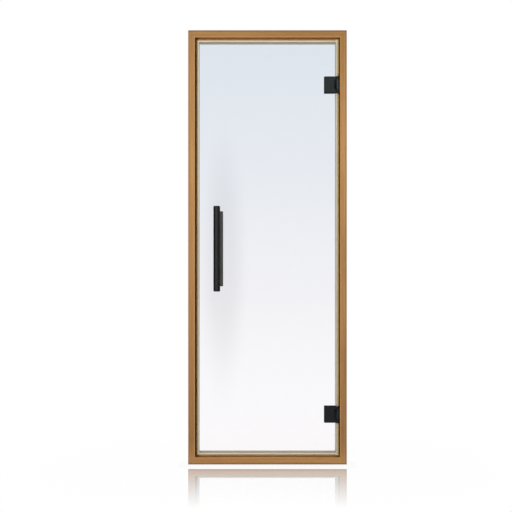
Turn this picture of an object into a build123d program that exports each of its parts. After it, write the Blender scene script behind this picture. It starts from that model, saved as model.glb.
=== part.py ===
from build123d import *
import os

# Sauna door: a clear glass leaf on two clamp hinges, in a rebated and mitred wood frame.
# X runs to the right as seen from outside, Y inward through the wall and Z up.
# The origin is at the middle of the sill's underside. All sizes are in millimetres.

# Wood frame
frame_width = 690.0
frame_height = 1890.0
frame_depth = 92.0
face_width = 30.0
rebate_depth = 34.0
stop_width = 15.0
arris_radius = 1.5

# Silicone seal in the face of the stop
groove_inset = 9.0
groove_width = 3.0
groove_depth = 6.0
seal_width = 6.0
seal_offset = 1.5
seal_clearance = 0.15
seal_to_glass = 0.3

# Holes that fix the frame in its wall opening
fixing_radius = 3.0
fixing_end_inset = 120.0
fixing_setback = 11.0
fixing_head_radius = 6.0
fixing_head_depth = 10.0

# Glass leaf
glass_thickness = 8.0
glass_setback = 22.0
glass_gap = 5.5
glass_arris = 1.0

# Clamp hinges
hinge_bottom_inset = 216.0
hinge_top_inset = 235.0
clamp_height = 74.0
clamp_left_reach = 62.0
clamp_outer_thickness = 7.0
clamp_inner_thickness = 6.0
clamp_bevel = 3.0
clamp_pad_thickness = 1.5
clamp_pad_inset = 1.0
clamp_stop_clearance = 5.5
notch_height = 42.0
notch_clearance = 6.0
knuckle_radius = 8.0
knuckle_wall_clearance = 0.8
knuckle_end_clearance = 0.5
pin_radius = 4.0
pin_running_clearance = 0.05
pin_end_inset = 0.5
axis_setback = 9.0

# Screws that clamp the glass
clamp_screw_spacing = 44.0
clamp_screw_radius = 3.0
clamp_screw_head_radius = 6.0
clamp_screw_thread_wall = 3.5
clamp_boss_radius = 5.5
clamp_boss_relief = 0.3
clamp_hole_radius = 7.0
screw_clearance = 0.1

# Hinge bracket let into the jamb
bracket_thickness = 3.0
bracket_height = 70.0
bracket_depth = 28.0
bracket_setback = 4.0
bracket_corner_radius = 3.0
bracket_neck_depth = 10.0
pocket_clearance = 0.2
bracket_screw_radius = 2.0
bracket_screw_head_radius = 4.2
bracket_screw_length = 24.0
bracket_screw_height_spacing = 54.0
bracket_screw_depth_spacing = 16.0

# Handle outside
handle_height = 939.0
handle_from_edge = 90.0
bar_radius = 14.5
bar_overhang = 21.0
bar_end_radius = 3.5
grip_gap = 32.0
rail_length = 328.0
rail_width = 34.0
rail_thickness = 8.0
rail_reach = 26.0
rail_edge_radius = 1.5
rail_corner_radius = 4.0
rail_gasket_thickness = 1.0
rail_gasket_inset = 1.0
post_inset = 54.0
post_radius = 8.0
post_socket_depth = 6.0
socket_clearance = 0.1

# Studs through the glass
stud_radius = 4.0
stud_clearance = 0.1
stud_grip_length = 24.0
handle_hole_radius = 7.0
bush_clearance = 0.1
washer_radius = 12.0
washer_thickness = 1.5

# Grip inside
inner_grip_overhang = 40.0
inner_grip_width = 28.0
inner_grip_depth = 22.0
inner_grip_radius = 8.0
inner_grip_gap = 28.0
inner_socket_depth = 8.0

# Smallest difference that tells two places apart
tolerance = 0.01

# Places that follow from the sizes above
front_y = -frame_depth / 2
side_x = frame_width / 2
wall_x = side_x - face_width
opening_x = wall_x - stop_width
glass_front_y = front_y + glass_setback
glass_back_y = glass_front_y + glass_thickness
glass_edge_x = wall_x - glass_gap
hinge_heights = {"lower": hinge_bottom_inset, "upper": frame_height - hinge_top_inset}
axis_x = wall_x - knuckle_wall_clearance - knuckle_radius
axis_y = front_y + axis_setback
notch_x = axis_x - knuckle_radius - notch_clearance
clamp_inner_right_x = opening_x - clamp_stop_clearance
clamp_left_x = glass_edge_x - clamp_left_reach
clamp_screw_x = (clamp_left_x + clamp_inner_right_x) / 2
clamp_back_y = glass_front_y - clamp_pad_thickness
clamp_front_y = clamp_back_y - clamp_outer_thickness
inner_clamp_front_y = glass_back_y + clamp_pad_thickness
inner_clamp_back_y = inner_clamp_front_y + clamp_inner_thickness
boss_end_y = inner_clamp_front_y - clamp_boss_relief
bracket_front_y = front_y + bracket_setback
bracket_back_y = bracket_front_y + bracket_depth
handle_x = -glass_edge_x + handle_from_edge
bar_length = rail_length + 2 * bar_overhang
post_spacing = rail_length - 2 * post_inset
inner_grip_length = post_spacing + 2 * inner_grip_overhang
rail_back_y = glass_front_y - rail_gasket_thickness
rail_front_y = rail_back_y - rail_thickness
bar_y = rail_front_y - grip_gap - bar_radius
washer_back_y = glass_back_y + washer_thickness
inner_grip_front_y = glass_back_y + inner_grip_gap
inner_grip_back_y = inner_grip_front_y + inner_grip_depth


def block(x_span, y_span, z_span):
    """Box between two limits along each axis."""
    spans = (x_span, y_span, z_span)
    middle = [(low + high) / 2 for low, high in spans]
    return Pos(*middle) * Box(*[high - low for low, high in spans])


def rod_y(radius, x, z, y_start, y_end):
    """Round rod along Y."""
    turned = Rot(90, 0, 0) * Cylinder(radius, y_end - y_start)
    return Pos(x, (y_start + y_end) / 2, z) * turned


def rod_x(radius, y, z, x_start, x_end):
    """Round rod along X."""
    turned = Rot(0, 90, 0) * Cylinder(radius, x_end - x_start)
    return Pos((x_start + x_end) / 2, y, z) * turned


def rod_z(radius, x, y, z_start, z_end):
    """Round rod along Z."""
    return Pos(x, y, (z_start + z_end) / 2) * Cylinder(radius, z_end - z_start)


def wood_section():
    """Section of a frame member: inward across, depth up, with rebate and groove."""
    full_width = face_width + stop_width
    outline = Polygon(
        (0, 0),
        (face_width, 0),
        (face_width, rebate_depth),
        (full_width, rebate_depth),
        (full_width, frame_depth),
        (0, frame_depth),
        align=None,
    )
    inner_corner = Vector(face_width, rebate_depth)
    arrises = [v for v in outline.vertices() if (Vector(*v) - inner_corner).length > tolerance]
    rounded = fillet(arrises, arris_radius)
    groove_middle = face_width + groove_inset + groove_width / 2
    groove = Pos(groove_middle, rebate_depth + groove_depth / 2) * Rectangle(groove_width, groove_depth)
    return rounded - groove


def seal_section():
    """Section of the seal: a stem in the groove and a soft rounded head set towards the opening."""
    middle = face_width + groove_inset + groove_width / 2
    stem_width = groove_width - 2 * seal_clearance
    stem_depth = groove_depth - seal_clearance
    stem = Pos(middle, rebate_depth + stem_depth / 2) * Rectangle(stem_width, stem_depth)
    head_height = rebate_depth - glass_setback - glass_thickness - seal_to_glass
    head_middle = middle + seal_offset
    head = Pos(head_middle, rebate_depth - head_height / 2) * Rectangle(seal_width, head_height)
    crown = head.vertices().group_by(Axis.Y)[0]
    return fillet(crown, head_height * 0.45) + stem


def mitred(section, start, inward, length):
    """Member of a section, run round the frame from its outer corner and cut at 45 degrees."""
    inward = Vector(*inward)
    run = inward.cross(Vector(0, 1, 0))
    start = Vector(*start)
    end = start + run * length
    bar = extrude(Plane(start, x_dir=inward, z_dir=run) * section, length)
    bar = split(bar, Plane(start, z_dir=run - inward), keep=Keep.TOP)
    return split(bar, Plane(end, z_dir=run + inward), keep=Keep.BOTTOM)


def frame_side(section, side):
    """One of the four sides of a mitred ring in the frame."""
    sides = {
        "bottom": ((side_x, front_y, 0), (0, 0, 1), frame_width),
        "top": ((-side_x, front_y, frame_height), (0, 0, -1), frame_width),
        "latch": ((-side_x, front_y, 0), (1, 0, 0), frame_height),
        "hinge": ((side_x, front_y, frame_height), (-1, 0, 0), frame_height),
    }
    return mitred(section, *sides[side])


def fixing_holes(side):
    """Counterbored holes through the rebate wall of a jamb, on side -1 or +1."""
    y = front_y + fixing_setback
    outer, inner, head_end = side * side_x, side * wall_x, side * (wall_x + fixing_head_depth)
    holes = []
    for z in (fixing_end_inset, frame_height / 2, frame_height - fixing_end_inset):
        holes.append(rod_x(fixing_radius, y, z, min(outer, inner), max(outer, inner)))
        holes.append(rod_x(fixing_head_radius, y, z, min(inner, head_end), max(inner, head_end)))
    return holes


def bracket_screw_places(height):
    """Places in Y and Z of the screws of one hinge bracket."""
    middle_y = (bracket_front_y + bracket_back_y) / 2
    return [
        (middle_y + j * bracket_screw_depth_spacing / 2, height + k * bracket_screw_height_spacing / 2)
        for j in (-1, 1)
        for k in (-1, 1)
    ]


def countersunk_x(y, z, grow):
    """Countersunk wood screw driven along +X into the jamb, grown all round for its hole."""
    shank = rod_x(bracket_screw_radius + grow, y, z, wall_x, wall_x + bracket_screw_length + grow)
    head_depth = bracket_screw_head_radius - bracket_screw_radius
    cone = Cone(bracket_screw_head_radius + grow, bracket_screw_radius + grow, head_depth)
    return shank + Pos(wall_x + head_depth / 2, y, z) * Rot(0, 90, 0) * cone


def bracket_pocket(height):
    """Pocket in the rebate wall that a hinge bracket is let into."""
    half = bracket_height / 2 + pocket_clearance
    pocket = block(
        (wall_x, wall_x + bracket_thickness),
        (bracket_front_y - pocket_clearance, bracket_back_y + pocket_clearance),
        (height - half, height + half),
    )
    corners = pocket.edges().filter_by(Axis.X)
    return fillet(corners, bracket_corner_radius)


def hinge_jamb():
    """Jamb on the hinge side, with fixing holes and the pockets of the brackets."""
    jamb = frame_side(wood_section(), "hinge")
    for hole in fixing_holes(1):
        jamb -= hole
    for height in hinge_heights.values():
        jamb -= bracket_pocket(height)
        for y, z in bracket_screw_places(height):
            jamb -= countersunk_x(y, z, screw_clearance)
    return jamb


def latch_jamb():
    """Jamb on the handle side, with fixing holes."""
    jamb = frame_side(wood_section(), "latch")
    for hole in fixing_holes(-1):
        jamb -= hole
    return jamb


def hinge_bracket(height):
    """Fixed half of a hinge: a leaf let into the jamb, a neck and the middle knuckle."""
    leaf = block(
        (wall_x, wall_x + bracket_thickness),
        (bracket_front_y, bracket_back_y),
        (height - bracket_height / 2, height + bracket_height / 2),
    )
    leaf = fillet(leaf.edges().filter_by(Axis.X), bracket_corner_radius)
    half = notch_height / 2 - knuckle_end_clearance
    neck = block(
        (axis_x, wall_x),
        (axis_y - bracket_neck_depth / 2, axis_y + bracket_neck_depth / 2),
        (height - half, height + half),
    )
    bracket = leaf + neck + rod_z(knuckle_radius, axis_x, axis_y, height - half, height + half)
    bore = pin_radius + pin_running_clearance
    bracket -= rod_z(bore, axis_x, axis_y, height - half, height + half)
    for y, z in bracket_screw_places(height):
        bracket -= countersunk_x(y, z, screw_clearance)
    return bracket


def bracket_screws(height):
    """Wood screws of one bracket."""
    return Compound(children=[countersunk_x(y, z, 0) for y, z in bracket_screw_places(height)])


def hinge_pin(height):
    """Pin through the three knuckles."""
    half = clamp_height / 2 - pin_end_inset
    return rod_z(pin_radius, axis_x, axis_y, height - half, height + half)


def clamp_screw_heights(height):
    """Heights of the two screws of one clamp."""
    return [height + k * clamp_screw_spacing / 2 for k in (-1, 1)]


def outer_clamp(height):
    """Moving half of a hinge: a C-shaped bevelled plate with a knuckle on each arm."""
    tail = Pos((clamp_left_x + axis_x) / 2, (clamp_front_y + clamp_back_y) / 2) * Rectangle(
        axis_x - clamp_left_x, clamp_outer_thickness
    )
    web = Pos(axis_x, (axis_y + clamp_back_y) / 2) * Rectangle(2 * knuckle_radius, clamp_back_y - axis_y)
    plan = tail + web + Pos(axis_x, axis_y) * Circle(knuckle_radius)
    low = height - clamp_height / 2
    plate = extrude(Pos(0, 0, low) * plan, clamp_height)
    ends = plate.faces().filter_by(Axis.Z).sort_by(Axis.Z)
    shown_rims = [
        edge
        for edge in ends[0].edges() + ends[-1].edges()
        if edge.center().Y < clamp_back_y - tolerance
        and edge.center().X < axis_x + knuckle_radius - tolerance
    ]
    left_face = plate.faces().sort_by(Axis.X)[0]
    left_corner = left_face.edges().filter_by(Axis.Z).sort_by(Axis.Y)[0]
    plate = chamfer(shown_rims + [left_corner], clamp_bevel)
    plate -= block(
        (notch_x, side_x),
        (axis_y - 2 * knuckle_radius, clamp_back_y),
        (height - notch_height / 2, height + notch_height / 2),
    )
    bore = pin_radius + pin_running_clearance
    plate -= rod_z(bore, axis_x, axis_y, low, low + clamp_height)
    thread_start_y = clamp_front_y + clamp_screw_thread_wall
    for z in clamp_screw_heights(height):
        plate += rod_y(clamp_boss_radius, clamp_screw_x, z, clamp_back_y, boss_end_y)
        plate -= rod_y(clamp_screw_radius + screw_clearance, clamp_screw_x, z, thread_start_y, boss_end_y)
    return plate


def inner_clamp(height):
    """Bevelled plate behind the glass, countersunk for its two screws."""
    plate = block(
        (clamp_left_x, clamp_inner_right_x),
        (inner_clamp_front_y, inner_clamp_back_y),
        (height - clamp_height / 2, height + clamp_height / 2),
    )
    back_edges = plate.faces().sort_by(Axis.Y)[-1].edges()
    plate = chamfer(back_edges, clamp_bevel)
    for z in clamp_screw_heights(height):
        plate -= clamp_screw(z, screw_clearance)
    return plate


def clamp_screw(z, grow):
    """Countersunk screw from the inner plate into a boss of the outer plate."""
    end_y = clamp_front_y + clamp_screw_thread_wall + clamp_boss_relief
    shank = rod_y(clamp_screw_radius + grow, clamp_screw_x, z, end_y, inner_clamp_back_y)
    head_depth = clamp_screw_head_radius - clamp_screw_radius
    cone = Cone(clamp_screw_radius + grow, clamp_screw_head_radius + grow, head_depth)
    head = Pos(clamp_screw_x, inner_clamp_back_y - head_depth / 2, z) * Rot(-90, 0, 0) * cone
    return shank + head


def clamp_screws(height):
    """Both screws of one clamp."""
    return Compound(children=[clamp_screw(z, 0) for z in clamp_screw_heights(height)])


def clamp_pad(height, right_x, y_start, y_end):
    """Rubber pad between a clamp plate and the glass, with holes for the bosses."""
    half = clamp_height / 2 - clamp_pad_inset
    pad = block((clamp_left_x + clamp_pad_inset, right_x), (y_start, y_end), (height - half, height + half))
    for z in clamp_screw_heights(height):
        pad -= rod_y(clamp_boss_radius + screw_clearance, clamp_screw_x, z, y_start, y_end)
    return pad


def outer_pad(height):
    """Pad in front of the glass: it also backs the notch of the outer plate."""
    return clamp_pad(height, glass_edge_x - clamp_pad_inset, clamp_back_y, glass_front_y)


def inner_pad(height):
    """Pad behind the glass."""
    right_x = clamp_inner_right_x - clamp_pad_inset
    return clamp_pad(height, right_x, glass_back_y, inner_clamp_front_y)


def post_heights():
    """Heights of the two handle posts."""
    return [handle_height + k * post_spacing / 2 for k in (-1, 1)]


def glass_pane():
    """Toughened glass with ground edges and drilled holes."""
    gap_z = face_width + glass_gap
    pane = block((-glass_edge_x, glass_edge_x), (glass_front_y, glass_back_y), (gap_z, frame_height - gap_z))
    faces = pane.faces().sort_by(Axis.Y)
    pane = chamfer(faces[0].edges() + faces[-1].edges(), glass_arris)
    for height in hinge_heights.values():
        for z in clamp_screw_heights(height):
            pane -= rod_y(clamp_hole_radius, clamp_screw_x, z, glass_front_y, glass_back_y)
    for z in post_heights():
        pane -= rod_y(handle_hole_radius, handle_x, z, glass_front_y, glass_back_y)
    return pane


def handle_bar():
    """Round bar with softened ends and a blind socket for each post."""
    half = bar_length / 2
    bar = rod_z(bar_radius, handle_x, bar_y, handle_height - half, handle_height + half)
    bar = fillet(bar.edges().filter_by(GeomType.CIRCLE), bar_end_radius)
    back_y = bar_y + bar_radius
    for z in post_heights():
        bar -= rod_y(post_radius + socket_clearance, handle_x, z, back_y - post_socket_depth, back_y)
    return bar


def handle_post(z):
    """Post from the rail into the bar, drilled for the stud."""
    end_y = bar_y + bar_radius - post_socket_depth
    post = rod_y(post_radius, handle_x, z, end_y, rail_front_y)
    stud_end_y = rail_front_y - stud_grip_length
    return post - rod_y(stud_radius + stud_clearance, handle_x, z, stud_end_y, rail_front_y)


def rail_span():
    """Limits in X of the rail behind the bar."""
    right_x = handle_x + rail_reach
    return right_x - rail_width, right_x


def handle_rail():
    """Flat rail on the glass that carries both posts."""
    half = rail_length / 2
    rail = block(rail_span(), (rail_front_y, rail_back_y), (handle_height - half, handle_height + half))
    rail = fillet(rail.edges().filter_by(Axis.Y), rail_corner_radius)
    rail = fillet(rail.faces().sort_by(Axis.Y)[0].edges(), rail_edge_radius)
    for z in post_heights():
        rail -= rod_y(stud_radius + stud_clearance, handle_x, z, rail_front_y, rail_back_y)
    return rail


def rail_gasket():
    """Thin rubber strip between the rail and the glass."""
    left_x, right_x = rail_span()
    half = rail_length / 2 - rail_gasket_inset
    strip = block(
        (left_x + rail_gasket_inset, right_x - rail_gasket_inset),
        (rail_back_y, glass_front_y),
        (handle_height - half, handle_height + half),
    )
    strip = fillet(strip.edges().filter_by(Axis.Y), rail_corner_radius - rail_gasket_inset)
    for z in post_heights():
        strip -= rod_y(stud_radius + stud_clearance, handle_x, z, rail_back_y, glass_front_y)
    return strip


def handle_studs():
    """Threaded studs through the glass that pull both grips together."""
    start_y = rail_front_y - stud_grip_length + stud_clearance
    end_y = inner_post_socket_y() - stud_clearance
    return Compound(children=[rod_y(stud_radius, handle_x, z, start_y, end_y) for z in post_heights()])


def handle_bushes():
    """Nylon bushes that centre the studs in the glass."""
    bushes = []
    for z in post_heights():
        bush = rod_y(handle_hole_radius - bush_clearance, handle_x, z, glass_front_y, glass_back_y)
        bushes.append(bush - rod_y(stud_radius + stud_clearance, handle_x, z, glass_front_y, glass_back_y))
    return Compound(children=bushes)


def inner_washers():
    """Rubber washers behind the glass."""
    washers = []
    for z in post_heights():
        washer = rod_y(washer_radius, handle_x, z, glass_back_y, washer_back_y)
        washers.append(washer - rod_y(stud_radius + stud_clearance, handle_x, z, glass_back_y, washer_back_y))
    return Compound(children=washers)


def inner_post_socket_y():
    """End of the stud's hole in an inner post."""
    return inner_grip_front_y - stud_clearance


def inner_posts():
    """Short posts behind the glass that carry the wood grip."""
    posts = []
    end_y = inner_grip_front_y + inner_socket_depth
    for z in post_heights():
        post = rod_y(post_radius, handle_x, z, washer_back_y, end_y)
        hole = rod_y(stud_radius + stud_clearance, handle_x, z, washer_back_y, inner_post_socket_y())
        posts.append(post - hole)
    return Compound(children=posts)


def inner_grip():
    """Rounded wood grip inside, with a blind socket for each post."""
    half = inner_grip_length / 2
    grip = block(
        (handle_x - inner_grip_width / 2, handle_x + inner_grip_width / 2),
        (inner_grip_front_y, inner_grip_back_y),
        (handle_height - half, handle_height + half),
    )
    grip = fillet(grip.edges(), inner_grip_radius)
    for z in post_heights():
        socket_end_y = inner_grip_front_y + inner_socket_depth
        grip -= rod_y(post_radius + socket_clearance, handle_x, z, inner_grip_front_y, socket_end_y)
    return grip


def all_pieces():
    """Every piece by its name."""
    pieces = {
        "sill": frame_side(wood_section(), "bottom"),
        "head": frame_side(wood_section(), "top"),
        "jamb_hinge_side": hinge_jamb(),
        "jamb_latch_side": latch_jamb(),
        "seal_bottom": frame_side(seal_section(), "bottom"),
        "seal_top": frame_side(seal_section(), "top"),
        "seal_hinge_side": frame_side(seal_section(), "hinge"),
        "seal_latch_side": frame_side(seal_section(), "latch"),
        "glass_pane": glass_pane(),
        "handle_bar": handle_bar(),
        "handle_rail": handle_rail(),
        "handle_rail_gasket": rail_gasket(),
        "handle_studs": handle_studs(),
        "handle_bushes": handle_bushes(),
        "inner_washers": inner_washers(),
        "inner_posts": inner_posts(),
        "inner_grip": inner_grip(),
    }
    for name, z in zip(("lower", "upper"), post_heights()):
        pieces["handle_post_" + name] = handle_post(z)
    for name, height in hinge_heights.items():
        pieces["hinge_bracket_" + name] = hinge_bracket(height)
        pieces["bracket_screws_" + name] = bracket_screws(height)
        pieces["hinge_pin_" + name] = hinge_pin(height)
        pieces["outer_clamp_" + name] = outer_clamp(height)
        pieces["inner_clamp_" + name] = inner_clamp(height)
        pieces["outer_pad_" + name] = outer_pad(height)
        pieces["inner_pad_" + name] = inner_pad(height)
        pieces["clamp_screws_" + name] = clamp_screws(height)
    return pieces


os.makedirs("parts", exist_ok=True)
for node, shape in all_pieces().items():
    export_step(shape, "parts/" + node + ".step")
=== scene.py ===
import math

import bmesh
import bpy
from mathutils import Matrix, Vector

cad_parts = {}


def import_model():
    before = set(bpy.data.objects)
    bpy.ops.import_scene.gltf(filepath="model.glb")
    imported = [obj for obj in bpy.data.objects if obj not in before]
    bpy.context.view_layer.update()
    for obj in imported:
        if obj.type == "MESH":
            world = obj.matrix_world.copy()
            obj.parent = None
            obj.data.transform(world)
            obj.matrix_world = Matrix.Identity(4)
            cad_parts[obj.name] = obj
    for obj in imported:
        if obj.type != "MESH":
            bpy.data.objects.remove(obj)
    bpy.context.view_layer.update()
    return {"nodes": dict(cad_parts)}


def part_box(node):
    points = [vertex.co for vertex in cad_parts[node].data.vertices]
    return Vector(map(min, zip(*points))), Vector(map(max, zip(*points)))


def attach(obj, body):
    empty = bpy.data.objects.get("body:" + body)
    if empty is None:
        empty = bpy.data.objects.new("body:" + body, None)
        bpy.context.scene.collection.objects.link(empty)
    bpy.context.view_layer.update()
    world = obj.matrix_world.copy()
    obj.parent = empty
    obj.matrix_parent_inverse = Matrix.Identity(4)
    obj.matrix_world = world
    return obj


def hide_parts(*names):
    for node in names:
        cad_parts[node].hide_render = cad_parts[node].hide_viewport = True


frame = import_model()
cad_nodes = frame["nodes"]

# The door faces -Y, with its foot on z = 0. Sizes are in metres, as in the frame.
frame_low, frame_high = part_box("sill")[0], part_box("head")[1]
front_y = frame_low[1]
back_y = frame_high[1]
side_x = frame_high[0]
top_z = frame_high[2]
glass_low, glass_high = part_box("glass_pane")

# How far inward from the frame's outline the face ends, the stop ends and the seal begins
face = 0.030
reveal = 0.045
seal_edge = face + 0.009

# Front of the stop, and the gap round the closed glass
stop_y = -0.012
glass_gap = 0.0055

# The mirroring floor lies this much lower, so that a white line parts the door from its image
floor_drop = 0.010
floor_half = 6.0

# Share of the floor's glow at the door and how far off it is full, and the like for its mirror,
# which ends there
glow_at_door = 0.93
glow_reach = 0.9
mirror_at_door = 0.72
mirror_reach = 0.75

# Camera, at the photograph's viewing angle
camera_distance = 4.6
camera_x = -0.050
camera_z = 0.9075
camera_lens = 74.33

# Colours, in linear light
white = (1.0, 1.0, 1.0)
black = (0.0, 0.0, 0.0)
# Pale of the grain, also a painted highlight along the face's inner edge
wood_pale_and_highlight = (0.462, 0.245, 0.089)
wood_middle = (0.375, 0.191, 0.063)
wood_dark = (0.250, 0.112, 0.034)
wood_red = (0.390, 0.165, 0.060)
# Painted shade along the face's outline and towards its ends
painted_outline_shade = (0.292, 0.121, 0.029)
# Painted light on the front of the head's and sill's rebate wall
painted_lit_lip = (0.620, 0.360, 0.140)
# Dark line at the mitres, also painted shadow on the rebate's wall and stop and along the jambs' face edge
dark_joint_and_shade = (0.060, 0.021, 0.004)
wood_stop = (0.480, 0.195, 0.040)
# Painted shadow on the stop beside the latch jamb's wall
stop_painted_shadow = (0.185, 0.085, 0.006)
stop_tan = (0.500, 0.270, 0.080)
stop_pale = (0.880, 0.690, 0.340)
# Painted shade on the seal's edge towards the wood, olive on the latch side
seal_painted_shade = (0.450, 0.330, 0.150)
seal_painted_shade_latch = (0.560, 0.400, 0.075)
black_paint = (0.0042, 0.0048, 0.0052)
graphite_paint = (0.072, 0.072, 0.070)
hinge_tint = (0.86, 0.97, 1.00)
black_rubber = (0.003, 0.003, 0.003)
blackened_steel = (0.07, 0.07, 0.07)
steel_grey = (0.42, 0.42, 0.41)
white_nylon = (0.72, 0.72, 0.70)
glass_edge_green = (0.45, 0.72, 0.62)
glass_shadow = (0.95, 0.96, 0.96)
floor_white = (0.93, 0.93, 0.93)

# Gloss of the wood in the open and deep in the jambs' rebates, and how much the glass bends light
wood_gloss = 0.35
recess_gloss = 0.05
glass_index = 1.6

# Colour by height, from the foot at 0 to the top at 1. The wood's painted light and shade multiplies its
# colour.
# Painted shade on the rebate's wall, lighter on the head and sill
rebate_painted_shade_by_height = (
    (0.017, (0.230, 0.090, 0.017)),
    (0.022, (0.070, 0.026, 0.006)),
    (0.978, (0.085, 0.032, 0.007)),
    (0.983, (0.330, 0.135, 0.028)),
)
reveal_tones = (
    (0.025, (0.40, 0.35, 0.22)),
    (0.030, (0.68, 0.60, 0.43)),
    (0.970, (0.66, 0.60, 0.44)),
    (0.975, (0.76, 0.63, 0.38)),
)
# Painted light and shade on the seal by height
seal_painted_light_by_height = (
    (0.020, (0.72, 0.66, 0.45)),
    (0.026, (0.52, 0.46, 0.30)),
    (0.350, (0.57, 0.50, 0.34)),
    (0.750, (0.72, 0.64, 0.44)),
    (0.970, (0.76, 0.67, 0.45)),
    (0.976, (0.86, 0.74, 0.48)),
)
# Painted light and shade on the wood: darker low down, lighter at three quarters of the height
wood_painted_light_by_height = (
    (0.012, (1.00, 1.01, 1.00)),
    (0.035, (0.82, 0.80, 0.78)),
    (0.06, (0.75, 0.73, 0.70)),
    (0.26, (0.85, 0.84, 0.82)),
    (0.49, (0.98, 0.99, 0.98)),
    (0.72, (1.16, 1.18, 1.22)),
    (0.93, (1.00, 1.01, 0.99)),
    (0.985, (0.93, 0.94, 0.95)),
)

# Painted reflection as a tint of the glass, from its lower edge at 0 to its upper edge at 1
glass_painted_reflection = (
    (0.00, (0.975, 0.955, 0.965)),
    (0.25, (0.926, 0.924, 0.944)),
    (0.40, (0.882, 0.880, 0.918)),
    (0.50, (0.856, 0.864, 0.902)),
    (0.60, (0.813, 0.836, 0.880)),
    (0.75, (0.774, 0.810, 0.865)),
    (1.00, (0.710, 0.765, 0.832)),
)

# Brightness of the studio in reflections, from left to right
studio_tones = (
    (0.00, (0.00, 0.00, 0.00)),
    (0.06, (0.05, 0.05, 0.05)),
    (0.13, (1.05, 1.05, 1.05)),
    (0.50, (1.00, 1.00, 1.00)),
    (0.70, (0.55, 0.55, 0.55)),
    (0.90, (0.45, 0.45, 0.45)),
    (1.00, (0.10, 0.10, 0.10)),
)

# Brightness of the studio in reflections, from straight down to straight up
studio_levels = (
    (0.250, (0.10, 0.10, 0.10)),
    (0.405, (0.08, 0.08, 0.08)),
    (0.500, (1.00, 1.00, 1.00)),
    (0.625, (1.00, 1.00, 1.00)),
    (0.750, (0.50, 0.50, 0.50)),
    (0.900, (0.40, 0.40, 0.40)),
    (1.000, (0.12, 0.12, 0.12)),
)

# Soft dark oval that the glass reflects: its middle and half its size, as parts of a direction
oval_x, oval_z = -0.031, -0.009
oval_half_width, oval_half_height = 0.026, 0.145

# Even light from all sides
fill_strength = 0.25

# Lamps: place, width and height, and power in watts
lamps = {
    "key": ((-1.6, -4.2, 1.5), (1.6, 1.8), 108.0),
    "fill": ((1.4, -4.2, 1.4), (1.5, 1.5), 38.0),
    "rim_left": ((-2.6, 1.6, 1.8), (0.9, 1.8), 35.0),
    "rim_right": ((2.6, 1.6, 1.8), (0.9, 1.8), 35.0),
}
lamp_target = (0.0, 0.0, 1.0)


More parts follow.
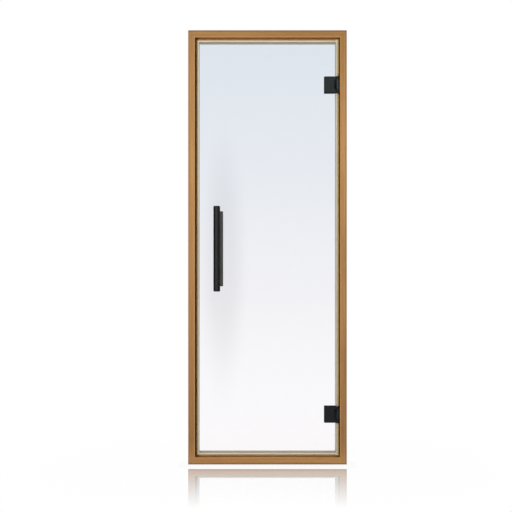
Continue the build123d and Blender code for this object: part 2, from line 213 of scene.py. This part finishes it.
class Nodes:
    """A node tree, with short calls that add nodes to it."""

    def __init__(self, owner):
        owner.use_nodes = True
        self.tree = owner.node_tree

    def add(self, kind, **settings):
        """Adds a node with these settings."""
        made = self.tree.nodes.new(kind)
        for key, value in settings.items():
            setattr(made, key, value)
        return made

    def feed(self, socket, value):
        """Links a socket to another, or sets it to a number or a colour."""
        if isinstance(value, bpy.types.NodeSocket):
            self.tree.links.new(value, socket)
        elif isinstance(value, tuple) and socket.type == "RGBA":
            socket.default_value = (*value, 1.0)
        else:
            socket.default_value = value

    def place(self, scale=(1, 1, 1), shift=(0, 0, 0)):
        """Position on the object in metres, stretched and shifted."""
        here = self.add("ShaderNodeTexCoord").outputs["Object"]
        mapping = self.add("ShaderNodeMapping")
        self.feed(mapping.inputs["Vector"], here)
        mapping.inputs["Location"].default_value = shift
        mapping.inputs["Scale"].default_value = scale
        return mapping.outputs["Vector"]

    def split(self, vector):
        """The three parts of a vector."""
        parts = self.add("ShaderNodeSeparateXYZ")
        self.feed(parts.inputs[0], vector)
        return parts.outputs

    def noise(self, vector, scale, detail=3.0, roughness=0.55, distortion=0.0):
        """Noise from 0 to 1."""
        made = self.add("ShaderNodeTexNoise")
        self.feed(made.inputs["Vector"], vector)
        made.inputs["Scale"].default_value = scale
        made.inputs["Detail"].default_value = detail
        made.inputs["Roughness"].default_value = roughness
        made.inputs["Distortion"].default_value = distortion
        return made.outputs["Fac"]

    def math(self, operation, first, second=0.0, clamp=False):
        """One step of arithmetic."""
        made = self.add("ShaderNodeMath", operation=operation, use_clamp=clamp)
        self.feed(made.inputs[0], first)
        self.feed(made.inputs[1], second)
        return made.outputs[0]

    def plus(self, first, second, clamp=False):
        """Sum, held between 0 and 1 where clamp is set."""
        return self.math("ADD", first, second, clamp)

    def minus(self, first, second):
        """Difference."""
        return self.math("SUBTRACT", first, second)

    def times(self, first, second):
        """Product."""
        return self.math("MULTIPLY", first, second)

    def larger(self, first, second):
        """The larger of two values."""
        return self.math("MAXIMUM", first, second)

    def smaller(self, first, second):
        """The smaller of two values."""
        return self.math("MINIMUM", first, second)

    def size_of(self, value):
        """A value without its sign."""
        return self.math("ABSOLUTE", value)

    def distance(self, across, along):
        """Straight distance over two steps at right angles."""
        squares = self.plus(self.math("POWER", across, 2.0), self.math("POWER", along, 2.0))
        return self.math("SQRT", squares)

    def span(self, value, low, high, new_low=0.0, new_high=1.0, kind="SMOOTHSTEP"):
        """Maps low..high to another span, and holds it beyond."""
        made = self.add("ShaderNodeMapRange", interpolation_type=kind)
        for socket, number in zip(made.inputs, (value, low, high, new_low, new_high)):
            self.feed(socket, number)
        return made.outputs[0]

    def band(self, value, start, end, soft, share=1.0):
        """This share from start to end, fading to 0 over the width of soft on either side."""
        rise = self.span(value, start - soft, start)
        fall = self.span(value, end, end + soft, share, 0.0)
        return self.times(rise, fall)

    def mix(self, share, first, second, blend="MIX"):
        """Mixes two colours."""
        made = self.add("ShaderNodeMix", data_type="RGBA", blend_type=blend)
        self.feed(made.inputs["Factor"], share)
        self.feed(made.inputs[6], first)
        self.feed(made.inputs[7], second)
        return made.outputs[2]

    def ramp(self, value, stops):
        """Colour ramp through (place, colour) stops."""
        made = self.add("ShaderNodeValToRGB")
        elements = made.color_ramp.elements
        while len(elements) < len(stops):
            elements.new(1.0)
        for element, (place, colour) in zip(elements, stops):
            element.position = place
            element.color = (*colour, 1.0)
        self.feed(made.inputs[0], value)
        return made.outputs["Color"]

    def rays(self):
        """What kind of ray meets the surface, 1 or 0 by name."""
        return self.add("ShaderNodeLightPath").outputs

    def seen_ray(self):
        """1 for a ray from the camera, a mirror or through glass, and 0 for one that lights things."""
        path = self.rays()
        direct = self.plus(path["Is Camera Ray"], path["Is Glossy Ray"])
        return self.plus(direct, path["Is Transmission Ray"], clamp=True)

    def bounced_ray(self):
        """1 for a ray that was mirrored and then went through glass."""
        path = self.rays()
        mirrored = self.math("GREATER_THAN", path["Glossy Depth"], 0.5)
        return self.times(path["Is Transmission Ray"], mirrored)

    def blend(self, share, first, second):
        """Mixes two shaders."""
        made = self.add("ShaderNodeMixShader")
        self.feed(made.inputs[0], share)
        self.feed(made.inputs[1], first)
        self.feed(made.inputs[2], second)
        return made.outputs[0]

    def shader_of(self, kind, **inputs):
        """Adds a shader with these inputs."""
        made = self.add(kind)
        for name, value in inputs.items():
            self.feed(made.inputs[name], value)
        return made.outputs[0]


class Surface(Nodes):
    """A material on one Principled shader."""

    def __init__(self, name):
        self.material = bpy.data.materials.new(name)
        super().__init__(self.material)
        self.shader = self.tree.nodes["Principled BSDF"]

    def set(self, name, value):
        """Sets or links an input of the shader."""
        self.feed(self.shader.inputs[name], value)

    def finish_with(self, shader):
        """Sends this shader to the output in place of the plain one."""
        self.feed(self.tree.nodes["Material Output"].inputs["Surface"], shader)

    def bump(self, height, distance, strength):
        """Raises the surface by a height map, distance being its full height in metres."""
        made = self.add("ShaderNodeBump")
        made.inputs["Strength"].default_value = strength
        made.inputs["Distance"].default_value = distance
        self.feed(made.inputs["Height"], height)
        self.set("Normal", made.outputs["Normal"])


class FrameSpot:
    """Where a point of the frame or its seal lies, as values in a surface's node tree."""

    def __init__(self, surface):
        self.x, self.y, z = surface.split(surface.place())
        self.height = surface.math("DIVIDE", z, top_z)
        self.from_side = surface.minus(side_x, surface.size_of(self.x))
        self.from_end = surface.smaller(z, surface.minus(top_z, z))
        self.inset = surface.smaller(self.from_side, self.from_end)


def front_share(surface, spot):
    """1 on the front of the frame, 0 behind it."""
    return surface.span(spot.y, front_y + 0.003, front_y + 0.006, 1.0, 0.0)


def latch_share(surface, spot):
    """0.8 beside the latch jamb's face, and 0 from 16 mm off it."""
    return surface.span(spot.x, 0.012 - side_x + face, 0.016 - side_x + face, 0.8, 0.0)


def tone_face(surface, spot, colour):
    """The front: painted shade along its outline and towards its ends, a painted highlight along the inner
    edge.
    """
    # Painted shade on the outline and ends, painted highlight on the inner edge
    outer = surface.band(spot.inset, start=-0.001, end=0.0040, soft=0.0018, share=0.8)
    ends = surface.band(spot.from_end, start=-0.001, end=0.0066, soft=0.0018, share=0.45)
    inner = surface.band(spot.inset, start=face - 0.0040, end=face - 0.0012, soft=0.0010, share=0.8)
    on_front = front_share(surface, spot)
    for share, tone in ((outer, painted_outline_shade), (ends, painted_outline_shade), (inner, wood_pale_and_highlight)):
        colour = surface.mix(surface.times(share, on_front), colour, tone)
    return colour


def tone_wall(surface, spot, colour, along):
    """The rebate's wall: painted shade, darkest on the latch side, behind a painted lit lip on the head
    and sill. Returns its share too.
    """
    on_wall = surface.band(spot.inset, start=face - 0.0001, end=face + 0.0004, soft=0.0005)
    if along == "X":
        # Painted light at the front of the wall
        lip = surface.band(spot.y, start=front_y + 0.002, end=front_y + 0.020, soft=0.002)
        colour = surface.mix(surface.times(on_wall, lip), colour, painted_lit_lip)
        deep_shade_start, deep_shade_fade = 0.022, 0.010
    else:
        deep_shade_start, deep_shade_fade = 0.004, 0.003
    # Painted shade from this depth back to the stop
    rebate_shade = surface.band(spot.y, start=front_y + deep_shade_start, end=stop_y - 0.0004, soft=deep_shade_fade)
    wall = surface.times(on_wall, rebate_shade)
    tone = surface.mix(latch_share(surface, spot), surface.ramp(spot.height, rebate_painted_shade_by_height), dark_joint_and_shade)
    return surface.mix(wall, colour, tone), wall


def tone_stop(surface, spot, colour):
    """The stop's front, with painted shadow beside the wall of both jambs, and pale beside the seal at the
    hinges.

    Returns its share too.
    """
    depth = surface.band(spot.y, start=stop_y - 0.0003, end=stop_y + 0.0006, soft=0.0004)
    width = surface.band(spot.inset, start=face + 0.0002, end=reveal - 0.0010, soft=0.0004)
    stop = surface.times(width, depth)
    beside_seal = surface.span(spot.inset, face + 0.0028, face + 0.0052)
    off_hinge_wall = surface.span(spot.inset, face + 0.0012, face + 0.0028)
    hinge_tone = surface.mix(beside_seal, stop_tan, stop_pale)
    # Painted shadow line beside the hinge jamb's wall
    hinge_tone = surface.mix(off_hinge_wall, dark_joint_and_shade, hinge_tone)
    hinge_side = surface.span(spot.x, side_x - face - 0.016, side_x - face - 0.012)
    tone = surface.mix(hinge_side, wood_stop, hinge_tone)
    # Painted shadow beside the latch jamb's wall
    off_latch_wall = surface.span(spot.inset, face + 0.0020, face + 0.0040)
    latch_tone = surface.mix(off_latch_wall, dark_joint_and_shade, stop_painted_shadow)
    tone = surface.mix(latch_share(surface, spot), tone, latch_tone)
    return surface.mix(stop, colour, tone), stop


def tone_reveal(surface, spot, colour):
    """The frame's inner sides behind the stop's front: paler."""
    behind_stop = surface.span(spot.y, stop_y + 0.0006, stop_y + 0.0016)
    on_reveal = surface.span(spot.inset, reveal - 0.0012, reveal - 0.0004)
    pale = surface.mix(0.85, colour, surface.ramp(spot.height, reveal_tones))
    return surface.mix(surface.times(on_reveal, behind_stop), colour, pale)


def tone_mitre(surface, spot, colour):
    """A fine dark line where two members meet."""
    off_mitre = surface.size_of(surface.minus(spot.from_side, spot.from_end))
    return surface.mix(surface.span(off_mitre, 0.0002, 0.0005, 0.6, 0.0), colour, dark_joint_and_shade)


def frame_tones(surface, spot, colour, along):
    """Tones over a frame member's section, with painted shade and highlight, and less gloss deep in the
    jambs' rebates.
    """
    colour = tone_face(surface, spot, colour)
    colour, wall = tone_wall(surface, spot, colour, along)
    colour, stop = tone_stop(surface, spot, colour)
    colour = tone_reveal(surface, spot, colour)
    colour = tone_mitre(surface, spot, colour)
    if along == "Z":
        # Painted shadow line along the inner edge of the jambs' face
        edge_shadow_line = surface.band(spot.inset, start=face - 0.0006, end=face + 0.0004, soft=0.0003, share=0.9)
        colour = surface.mix(surface.times(edge_shadow_line, front_share(surface, spot)), colour, dark_joint_and_shade)
        recess = surface.larger(wall, stop)
        gloss = surface.span(recess, 0.0, 1.0, wood_gloss, recess_gloss, kind="LINEAR")
        surface.set("Specular IOR Level", gloss)
    return colour


def wood(name, along, shift, framed=True):
    """Oiled heat-treated wood with straight grain along X or Z, with painted light and shade by height on
    the frame.
    """
    surface = Surface(name)
    surface.set("Specular IOR Level", wood_gloss)

    def grain(across, length, detail, roughness=0.55, distortion=0.0):
        """Noise drawn out along the grain, with this many cells a metre across it and along it."""
        scale = (length, across, across) if along == "X" else (across, across, length)
        return surface.noise(surface.place(scale, shift), 1.0, detail, roughness, distortion)

    tone = grain(6, 1.1, detail=2.0)
    figure = grain(95, 2.6, detail=3.0, roughness=0.5, distortion=0.35)
    streaks = grain(260, 4.0, detail=4.0, roughness=0.6)
    fibre = grain(1500, 26, detail=3.0, roughness=0.6)
    pores = grain(2300, 90, detail=1.0)
    pore_share = surface.span(pores, 0.66, 0.74, 0.0, 0.5)
    colour = surface.mix(surface.span(figure, 0.32, 0.68), wood_pale_and_highlight, wood_middle)
    colour = surface.mix(surface.span(streaks, 0.50, 0.78, 0.0, 0.55), colour, wood_dark)
    colour = surface.mix(surface.span(tone, 0.45, 0.75, 0.0, 0.45), colour, wood_red)
    colour = surface.mix(surface.span(fibre, 0.35, 0.75, 0.0, 0.22), colour, wood_dark)
    colour = surface.mix(pore_share, colour, wood_dark)
    if framed:
        spot = FrameSpot(surface)
        # Painted light and shade by height
        colour = surface.mix(1.0, colour, surface.ramp(spot.height, wood_painted_light_by_height), "MULTIPLY")
        colour = frame_tones(surface, spot, colour, along)
    surface.set("Base Color", colour)
    surface.set("Roughness", surface.span(fibre, 0.3, 0.8, 0.46, 0.62))
    relief = surface.minus(surface.times(fibre, 0.5), pore_share)
    surface.bump(relief, distance=0.00008, strength=0.6)
    return surface.material


def black_metal(name, paint, roughness, gloss, tint=white):
    """Satin dark powder coat with a fine orange peel; tint colours its gloss."""
    surface = Surface(name)
    peel = surface.noise(surface.place(), 1400.0, detail=2.0, roughness=0.5)
    cloud = surface.noise(surface.place(), 35.0, detail=3.0, roughness=0.6)
    pale = tuple(1.3 * part for part in paint)
    surface.set("Base Color", surface.mix(surface.span(cloud, 0.35, 0.7), paint, pale))
    surface.set("Specular IOR Level", gloss)
    surface.set("Specular Tint", tint)
    surface.set("Roughness", surface.span(cloud, 0.3, 0.7, roughness - 0.03, roughness + 0.04))
    surface.bump(peel, distance=0.00001, strength=0.3)
    return surface.material


def seal_colour(surface):
    """Cream with painted light and shade by height, painted shade on the edge towards the wood, but evenly
    a little darker at the hinges.
    """
    spot = FrameSpot(surface)
    latch_side = surface.span(spot.x, 0.008 - side_x + reveal, 0.012 - side_x + reveal, 1.0, 0.0)
    off_hinge = surface.span(spot.x, side_x - reveal - 0.006, side_x - reveal - 0.002, 1.0, 0.0)
    edge_shade_end = surface.span(spot.height, 0.970, 0.976, seal_edge + 0.0018, seal_edge + 0.0032)
    edge_shade_end = surface.plus(edge_shade_end, surface.times(latch_side, 0.0012))
    # Painted shade on the edge towards the wood
    edge = surface.times(surface.span(spot.inset, seal_edge, edge_shade_end, 0.8, 0.0), off_hinge)
    edge_shade_colour = surface.mix(latch_side, seal_painted_shade, seal_painted_shade_latch)
    colour = surface.mix(edge, surface.ramp(spot.height, seal_painted_light_by_height), edge_shade_colour)
    on_upright = surface.span(surface.minus(spot.from_end, spot.from_side), 0.0, 0.001)
    hinge_strip = surface.times(on_upright, surface.minus(1.0, off_hinge))
    return surface.mix(hinge_strip, colour, surface.mix(0.14, colour, black))


def rubber(name, colour, roughness, gloss=0.5):
    """Matte rubber or plastic with a faint bloom, in one colour or in what a function returns."""
    surface = Surface(name)
    bloom = surface.noise(surface.place(), 60.0, detail=4.0, roughness=0.6)
    if callable(colour):
        colour = colour(surface)
    pale = surface.mix(0.1, colour, white)
    surface.set("Base Color", surface.mix(surface.span(bloom, 0.4, 0.8, 0.0, 0.6), colour, pale))
    surface.set("Roughness", roughness)
    surface.set("Specular IOR Level", gloss)
    grain = surface.noise(surface.place(), 2600.0, detail=2.0)
    surface.bump(grain, distance=0.00002, strength=0.4)
    return surface.material


def steel(name, tone):
    """Brushed steel."""
    surface = Surface(name)
    scratches = surface.noise(surface.place((900, 900, 40)), 1.0, detail=3.0, roughness=0.6)
    pale = tuple(1.2 * part for part in tone)
    surface.set("Base Color", surface.mix(surface.span(scratches, 0.3, 0.7), tone, pale))
    surface.set("Metallic", 1.0)
    surface.set("Roughness", surface.span(scratches, 0.3, 0.7, 0.28, 0.42))
    return surface.material


def clear_glass(name):
    """Toughened glass: a painted reflection as a pale blue tint that fades downward, clear over the stop,
    green at its edges.
    """
    surface = Surface(name)
    x, _, z = surface.split(surface.place())
    height = surface.span(z, glass_low[2], glass_high[2], kind="LINEAR")
    from_end = surface.smaller(surface.minus(z, glass_low[2]), surface.minus(glass_high[2], z))
    from_edge = surface.smaller(surface.minus(glass_high[0], surface.size_of(x)), from_end)
    rim_width = reveal - face - glass_gap
    on_rim = surface.span(from_edge, rim_width - 0.001, rim_width, 1.0, 0.0)
    on_edge = surface.span(from_edge, 0.0, 0.0012, 1.0, 0.0)
    tint = surface.mix(on_rim, surface.ramp(height, glass_painted_reflection), white)
    surface.set("Base Color", surface.mix(on_edge, tint, glass_edge_green))
    surface.set("Roughness", 0.0)
    surface.set("IOR", glass_index)
    surface.set("Transmission Weight", 1.0)
    clear = surface.shader_of("ShaderNodeBsdfTransparent", Color=glass_shadow)
    shadow_ray = surface.rays()["Is Shadow Ray"]
    surface.finish_with(surface.blend(shadow_ray, surface.shader.outputs[0], clear))
    return surface.material


def dress(material, *names):
    """Gives CAD nodes a material."""
    for name in names:
        mesh = cad_nodes[name].data
        mesh.materials.clear()
        mesh.materials.append(material)


def hexagon(angle):
    """Radius of the hexagonal socket at an angle."""
    middle_to_side = 0.0020
    return middle_to_side / math.cos((angle + math.pi / 6) % (math.pi / 3) - math.pi / 6)


def cross(angle):
    """Radius of the cross recess at an angle."""
    arm_length, arm_half_width = 0.0024, 0.0005
    along = max(abs(math.cos(angle)), 1e-6)
    across = max(abs(math.sin(angle)), 1e-6)
    return max(
        min(arm_length / along, arm_half_width / across),
        min(arm_length / across, arm_half_width / along),
    )


def add_screw(mesh, head_radius, shank_radius, length, recess, depth, turn):
    """Countersunk screw along -Z with its head's top at the origin, moved by the matrix turn."""
    count = 72
    rim = 0.00015
    taper = head_radius - shank_radius
    profile = (
        (lambda angle: 0.8 * recess(angle), -depth),
        (lambda angle: 0.96 * recess(angle), -rim),
        (lambda angle: recess(angle) + rim, 0.0),
        (lambda angle: head_radius - rim, 0.0),
        (lambda angle: head_radius, -rim),
        (lambda angle: shank_radius, -rim - taper),
        (lambda angle: shank_radius, -length),
    )
    rings = []
    for radius, height in profile:
        ring = []
        for step in range(count):
            angle = 2 * math.pi * (step + 0.5) / count
            spot = Vector((radius(angle) * math.cos(angle), radius(angle) * math.sin(angle), height))
            ring.append(mesh.verts.new(turn @ spot))
        rings.append(ring)
    for inner, outer in zip(rings, rings[1:]):
        for step in range(count):
            after = (step + 1) % count
            mesh.faces.new((inner[step], outer[step], outer[after], inner[after]))
    mesh.faces.new(rings[0])
    mesh.faces.new(reversed(rings[-1]))


def screws(node, places, material, *shape):
    """Screws with real recesses at these places, in place of a CAD node's plain ones."""
    mesh = bmesh.new()
    for place in places:
        add_screw(mesh, *shape, place)
    bmesh.ops.recalc_face_normals(mesh, faces=mesh.faces)
    data = bpy.data.meshes.new(node + "_detailed")
    mesh.to_mesh(data)
    mesh.free()
    data.materials.append(material)
    made = bpy.data.objects.new(node + "_detailed", data)
    bpy.context.scene.collection.objects.link(made)
    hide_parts(node)
    return made


def clamp_screws(node, material):
    """Screws with hexagonal sockets in the inner plate of a clamp."""
    low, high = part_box(node)
    radius = (high[0] - low[0]) / 2
    shank_radius, socket_depth = 0.003, 0.0022
    turn = Matrix.Rotation(math.radians(-90), 4, "X")
    places = [
        Matrix.Translation((low[0] + radius, high[1], z)) @ turn
        for z in (low[2] + radius, high[2] - radius)
    ]
    length = high[1] - low[1]
    made = screws(node, places, material, radius, shank_radius, length, hexagon, socket_depth)
    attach(made, "door_leaf")


def bracket_screws(node, material):
    """Screws with cross recesses in the leaf of a hinge bracket."""
    low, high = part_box(node)
    radius, shank_radius, recess_depth = 0.0042, 0.002, 0.0014
    turn = Matrix.Rotation(math.radians(-90), 4, "Y")
    places = [
        Matrix.Translation((low[0], y, z)) @ turn
        for y in (low[1] + radius, high[1] - radius)
        for z in (low[2] + radius, high[2] - radius)
    ]
    length = high[0] - low[0]
    made = screws(node, places, material, radius, shank_radius, length, cross, recess_depth)
    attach(made, "door_frame")


def floor_surface():
    """White floor that glows in pictures, with a faint shadow and a faint mirror image at the door."""
    surface = Surface("floor_white")
    surface.set("Base Color", floor_white)
    surface.set("Roughness", 0.6)
    surface.set("Specular IOR Level", 0.1)
    x, y, _ = surface.split(surface.place())
    beside = surface.larger(surface.minus(surface.size_of(x), side_x), 0.0)
    before = surface.larger(surface.minus(surface.size_of(y), back_y), 0.0)
    off_door = surface.distance(beside, before)

    glow = surface.shader_of("ShaderNodeEmission")
    glow_share = surface.span(off_door, 0.0, glow_reach, glow_at_door, 1.0)
    glow_share = surface.times(glow_share, surface.seen_ray())
    lit = surface.blend(glow_share, surface.shader.outputs[0], glow)

    # The camera sees the image of the door's foot this far before the door. Nearer floor is white.
    white_line = floor_drop * camera_distance / camera_z
    mirror = surface.shader_of("ShaderNodeBsdfGlossy", Color=white, Roughness=0.0)
    mirror_share = surface.span(off_door, 0.0, mirror_reach, mirror_at_door, 0.0, kind="LINEAR")
    mirror_share = surface.times(mirror_share, surface.rays()["Is Camera Ray"])
    past_line = surface.span(off_door, white_line - 0.006, white_line)
    lit = surface.blend(surface.times(mirror_share, past_line), lit, mirror)

    clear = surface.shader_of("ShaderNodeBsdfTransparent")
    surface.finish_with(surface.blend(surface.bounced_ray(), lit, clear))
    return surface.material


def floor():
    """Level square of floor round the door, left out of glossy reflections."""
    corners = [(-1, -1), (1, -1), (1, 1), (-1, 1)]
    mesh = bpy.data.meshes.new("floor")
    mesh.from_pydata([(floor_half * x, floor_half * y, 0) for x, y in corners], [], [(0, 1, 2, 3)])
    mesh.materials.append(floor_surface())
    made = bpy.data.objects.new("floor", mesh)
    made.location = (0, 0, -floor_drop)
    made.visible_glossy = False
    bpy.context.scene.collection.objects.link(made)


def studio_brightness(sky, x, y, z, not_through):
    """Brightness of the studio in soft reflections: bright before the door, dim behind it."""
    across = sky.ramp(sky.span(x, -1.0, 1.0, kind="LINEAR"), studio_tones)
    level = sky.ramp(sky.span(z, -1.0, 1.0, kind="LINEAR"), studio_levels)
    front = sky.times(level, sky.span(y, -0.1, 0.3, 1.0, 0.08))
    back = sky.times(sky.span(y, 0.45, 0.75, 0.0, 0.4), not_through)
    return sky.larger(sky.times(across, front), back)


def pane_brightness(sky, x, y, z):
    """Brightness of the studio in the glass: white, but for a soft dark oval before the door."""
    off_x = sky.math("DIVIDE", sky.minus(x, oval_x), oval_half_width)
    off_z = sky.math("DIVIDE", sky.minus(z, oval_z), oval_half_height)
    off_oval = sky.span(sky.distance(off_x, off_z), 0.25, 1.0)
    return sky.larger(off_oval, sky.span(y, -0.9, -0.8))


def world():
    """White backdrop for what is seen, a studio in reflections, and even light for what is lit."""
    made = bpy.data.worlds.new("studio")
    bpy.context.scene.world = made
    sky = Nodes(made)
    x, y, z = sky.split(sky.add("ShaderNodeTexCoord").outputs["Generated"])
    path = sky.rays()

    # Mirrored in the floor and seen through the glass, the studio is white above the horizon only
    bounced = sky.bounced_ray()
    through = sky.times(bounced, sky.math("GREATER_THAN", y, 0.0))
    not_through = sky.minus(1.0, through)
    above = sky.times(through, sky.span(z, 0.06, 0.14))

    sharp = sky.times(path["Is Singular Ray"], not_through)
    soft = sky.times(studio_brightness(sky, x, y, z, not_through), sky.minus(1.0, sharp))
    in_glass = sky.times(sharp, pane_brightness(sky, x, y, z))
    brightness = sky.plus(sky.larger(soft, above), in_glass)

    fill = sky.tree.nodes["Background"]
    sky.feed(fill.inputs["Color"], white)
    sky.feed(fill.inputs["Strength"], fill_strength)
    mirrored = sky.shader_of("ShaderNodeBackground", Color=white, Strength=brightness)
    backdrop = sky.shader_of("ShaderNodeBackground", Color=white)
    reflected = sky.plus(path["Is Glossy Ray"], bounced, clamp=True)
    straight = sky.plus(path["Is Camera Ray"], sky.minus(path["Is Transmission Ray"], bounced))
    around = sky.blend(reflected, fill.outputs[0], mirrored)
    total = sky.blend(straight, around, backdrop)
    sky.feed(sky.tree.nodes["World Output"].inputs["Surface"], total)


def softbox(name, place, size, power):
    """Rectangular studio lamp turned to the door, which lights it and isn't seen itself."""
    data = bpy.data.lights.new(name, "AREA")
    data.shape = "RECTANGLE"
    data.size, data.size_y = size
    data.energy = power
    made = bpy.data.objects.new(name, data)
    bpy.context.scene.collection.objects.link(made)
    made.location = place
    made.rotation_euler = (Vector(lamp_target) - made.location).to_track_quat("-Z", "Y").to_euler()
    made.visible_camera = False
    made.visible_transmission = False
    made.visible_glossy = False


def camera():
    """Level camera in front of the door."""
    data = bpy.data.cameras.new("camera")
    data.lens = camera_lens
    made = bpy.data.objects.new("camera", data)
    bpy.context.scene.collection.objects.link(made)
    made.location = (camera_x, front_y - camera_distance, camera_z)
    made.rotation_euler = (math.radians(90), 0, 0)
    bpy.context.scene.camera = made


def dress_frame():
    """Wood and seals of the frame, each member with its own stretch of grain."""
    dress(wood("wood_jamb_left", "Z", shift=(0.31, 0.12, 0.43)), "jamb_latch_side")
    dress(wood("wood_jamb_right", "Z", shift=(0.77, 0.35, 0.91)), "jamb_hinge_side")
    dress(wood("wood_head", "X", shift=(0.21, 0.58, 0.14)), "head")
    dress(wood("wood_sill", "X", shift=(0.63, 0.81, 0.55)), "sill")
    silicone = rubber("silicone", seal_colour, roughness=0.55)
    dress(silicone, "seal_bottom", "seal_top", "seal_hinge_side", "seal_latch_side")


def dress_hinges(pad_rubber):
    """Black clamps and brackets, with pads, pins and screws."""
    clamp_black = black_metal("satin_blue_black", black_paint, roughness=0.32, gloss=0.52, tint=hinge_tint)
    bracket_black = black_metal("satin_bracket_black", black_paint, roughness=0.28, gloss=0.80)
    dark_steel = steel("blackened_steel", blackened_steel)
    for level in ("lower", "upper"):
        dress(clamp_black, "outer_clamp_" + level, "inner_clamp_" + level)
        dress(bracket_black, "hinge_bracket_" + level)
        dress(pad_rubber, "outer_pad_" + level, "inner_pad_" + level)
        dress(dark_steel, "hinge_pin_" + level)
        clamp_screws("clamp_screws_" + level, dark_steel)
        bracket_screws("bracket_screws_" + level, dark_steel)


def dress_handle(pad_rubber):
    """Black bar and rail outside, wood grip inside, and what holds them to the glass."""
    bar_black = black_metal("satin_black", black_paint, roughness=0.24, gloss=0.55)
    dress(bar_black, "handle_bar", "handle_post_lower", "handle_post_upper", "inner_posts")
    rail_black = black_metal("satin_graphite", graphite_paint, roughness=0.38, gloss=1.0)
    dress(rail_black, "handle_rail")
    dress(pad_rubber, "handle_rail_gasket", "inner_washers")
    dress(wood("wood_grip", "Z", shift=(0.09, 0.44, 0.27), framed=False), "inner_grip")
    dress(steel("steel", steel_grey), "handle_studs")
    dress(rubber("nylon", white_nylon, roughness=0.4), "handle_bushes")


matte_rubber = rubber("pad_rubber", black_rubber, roughness=0.7, gloss=0.12)
dress_frame()
dress_hinges(matte_rubber)
dress_handle(matte_rubber)
dress(clear_glass("clear_glass"), "glass_pane")

floor()
world()
for name, (place, size, power) in lamps.items():
    softbox(name, place, size, power)
camera()

bpy.context.scene.view_settings.view_transform = "Standard"
